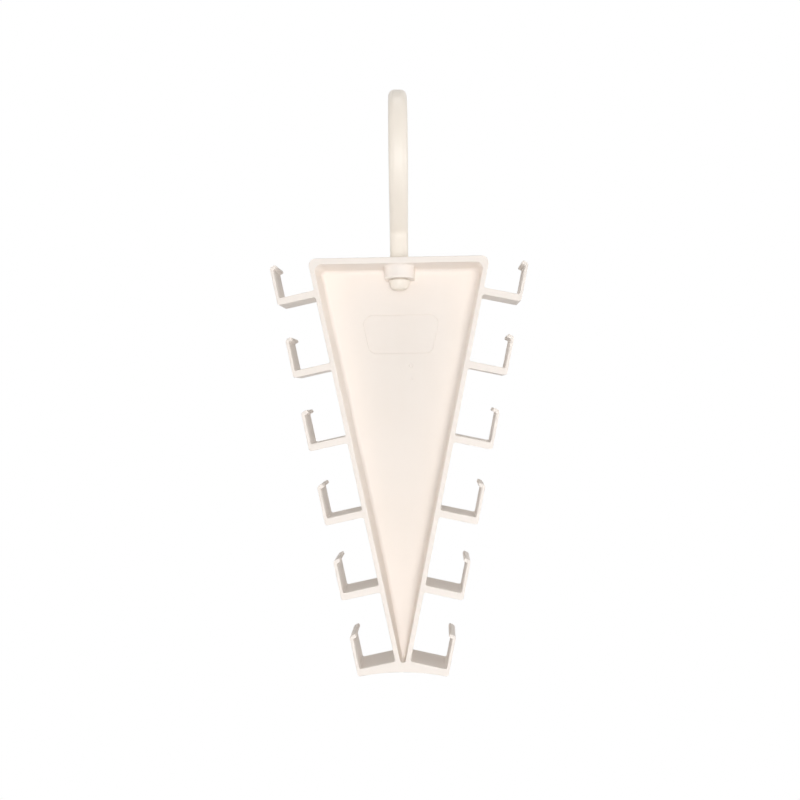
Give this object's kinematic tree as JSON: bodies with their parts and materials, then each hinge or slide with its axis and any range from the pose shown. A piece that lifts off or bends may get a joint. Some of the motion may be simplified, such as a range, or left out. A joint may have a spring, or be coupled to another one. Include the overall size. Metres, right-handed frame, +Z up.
{
  "type": "multi-hook hanger",
  "caption": "Wedge-shaped plastic tray with a row of lipped hooks down each side for ties, belts and straps, hung from a swivelling rail hook.",
  "frame": {"origin": "the point inside the crown of the swivel hook that sits on the rail, on the swivel axis", "axes": "+Z up along the swivel axis, +X across the tray, +Y out of the tray's flat closed side, so that its open side faces -Y"},
  "size_m": [0.131, 0.0672, 0.2961],
  "materials": {
    "ivory_plastic": "satin, as moulded",
    "ivory_hook_plastic": "semi-gloss, as moulded"
  },
  "bodies": {
    "rail_hook": {"swivel_hook": "ivory_hook_plastic"},
    "tray": {"hanger_body": "ivory_plastic"}
  },
  "joints": [
    {"name": "swivel", "type": "hinge", "parent": "rail_hook", "child": "tray", "pos_m": [0, 0, -0.07946], "axis": [0, 0, 1], "continuous": true}
  ]
}
